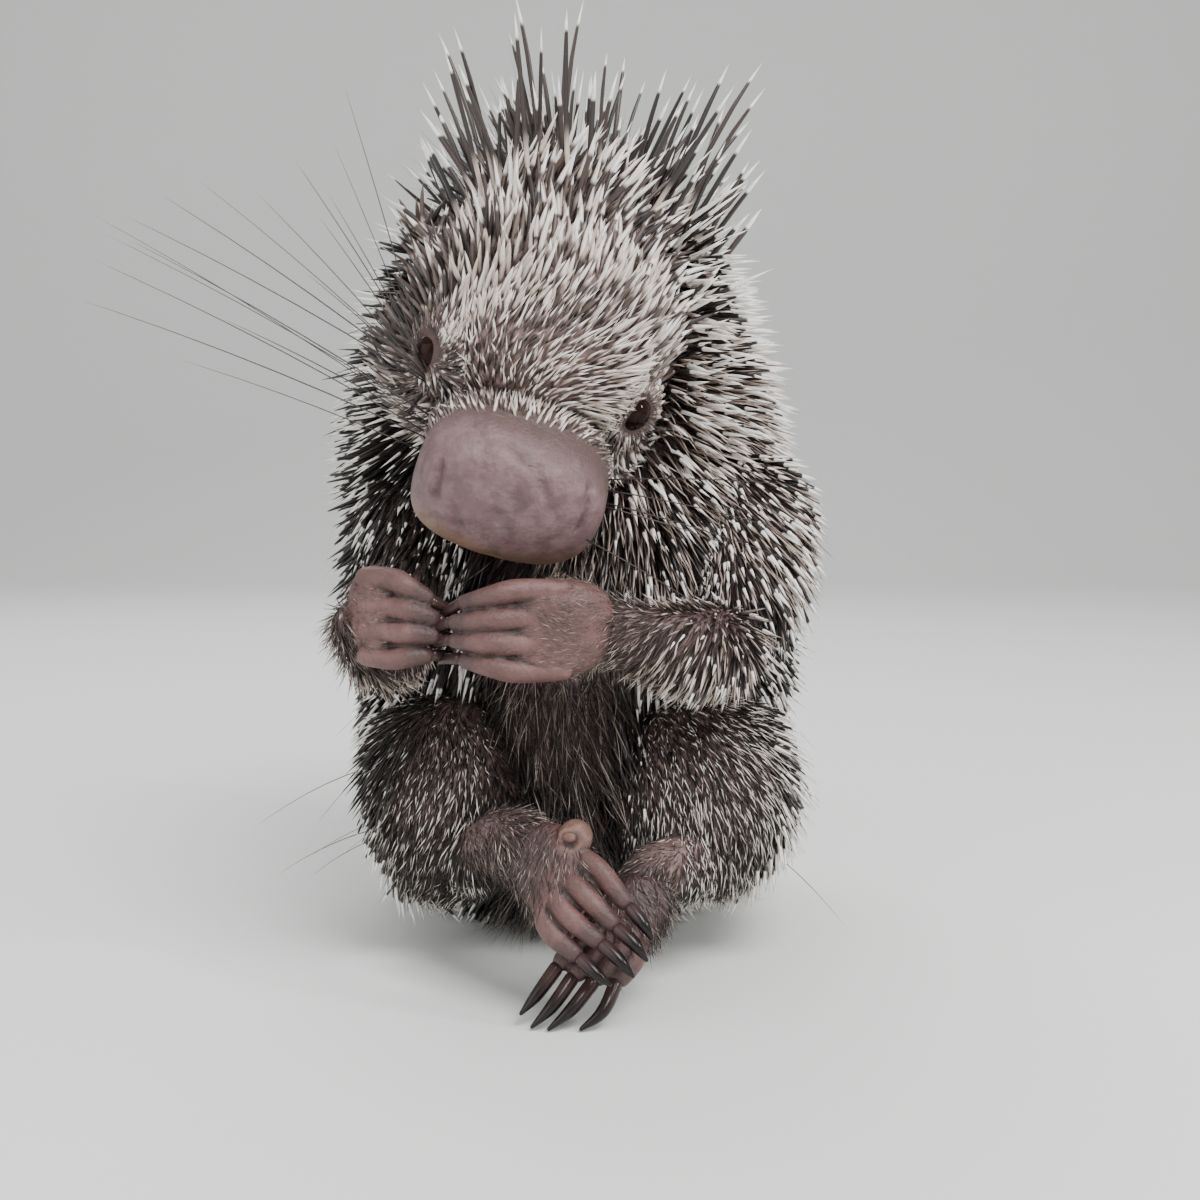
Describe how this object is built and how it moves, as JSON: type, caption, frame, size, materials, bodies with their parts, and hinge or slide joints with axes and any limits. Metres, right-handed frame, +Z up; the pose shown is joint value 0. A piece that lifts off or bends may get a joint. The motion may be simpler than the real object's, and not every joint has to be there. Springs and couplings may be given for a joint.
{
  "type": "porcupine",
  "caption": "Life-size prehensile-tailed porcupine sitting upright with its hands raised, feet crossed and tail curled behind.",
  "frame": {"origin": "middle of the footprint of the whole model, on the floor that it sits on", "axes": "+Z up, -Y the way the animal faces, +X to the animal's own left"},
  "size_m": [0.2118, 0.362, 0.3046],
  "materials": {
    "quill_coat": "bristly coat of dark quills with cream tips",
    "muzzle_skin": "soft matt mauve skin",
    "bare_skin": "wrinkled mauve-brown skin with fine hair",
    "tail_skin": "scaly grey-brown skin with short bristles",
    "claws": "glossy dark horn",
    "eyes": "wet and very dark brown"
  },
  "bodies": {
    "root": {"claw_foot_left_1": "claws", "claw_foot_left_2": "claws", "claw_foot_left_3": "claws", "claw_foot_left_4": "claws", "claw_foot_right_1": "claws", "claw_foot_right_2": "claws", "claw_foot_right_3": "claws", "claw_foot_right_4": "claws", "claw_hand_left_1": "claws", "claw_hand_left_2": "claws", "claw_hand_left_3": "claws", "claw_hand_left_4": "claws", "claw_hand_right_1": "claws", "claw_hand_right_2": "claws", "claw_hand_right_3": "claws", "claw_hand_right_4": "claws", "ear_left": "bare_skin", "ear_right": "bare_skin", "eye_left": "eyes", "eye_right": "eyes", "foot_left": "bare_skin", "foot_right": "bare_skin", "forearm_left": "quill_coat", "forearm_right": "quill_coat", "hand_left": "bare_skin", "hand_right": "bare_skin", "head": "quill_coat", "jaw": "muzzle_skin", "muzzle": "muzzle_skin", "neck": "quill_coat", "shank_left": "quill_coat", "shank_right": "quill_coat", "tail_base": "tail_skin", "tail_middle": "tail_skin", "tail_root": "quill_coat", "tail_tip": "tail_skin", "thigh_left": "quill_coat", "thigh_right": "quill_coat", "torso": "quill_coat", "upper_arm_left": "quill_coat", "upper_arm_right": "quill_coat"}
  },
  "joints": []
}
